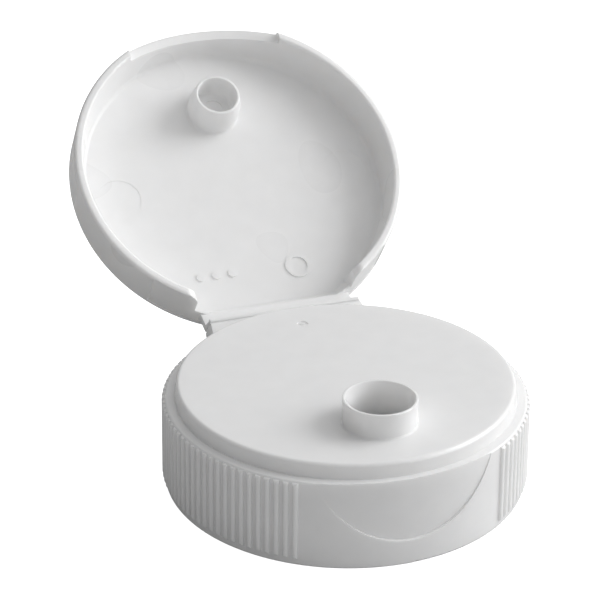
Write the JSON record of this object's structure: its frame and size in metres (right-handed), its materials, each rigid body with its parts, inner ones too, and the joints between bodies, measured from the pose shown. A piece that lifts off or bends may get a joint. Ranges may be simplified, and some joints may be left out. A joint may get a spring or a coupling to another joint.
{
  "type": "flip top cap",
  "caption": "Hinged dispensing closure: a ribbed threaded skirt, a raised deck with a round spout, and a dished lid whose hollow plug seals the spout.",
  "frame": {"origin": "centre of the skirt's open rim, on the neck axis; the rim rests on z = 0", "axes": "+Z along the neck axis towards the spout, -Y towards the thumb side, +Y towards the hinge, X along the hinge line"},
  "size_m": [0.0412, 0.0765, 0.0339],
  "materials": {
    "white_polypropylene": "semi-gloss moulded"
  },
  "bodies": {
    "body": {"cap_body": "white_polypropylene"},
    "lid": {"flip_lid": "white_polypropylene"}
  },
  "joints": [
    {"name": "lid_hinge", "type": "hinge", "parent": "body", "child": "lid", "pos_m": [0, 0.0205, 0.0108], "axis": [-1, 0, 0], "range_deg": [-143.4, 36.6]}
  ]
}
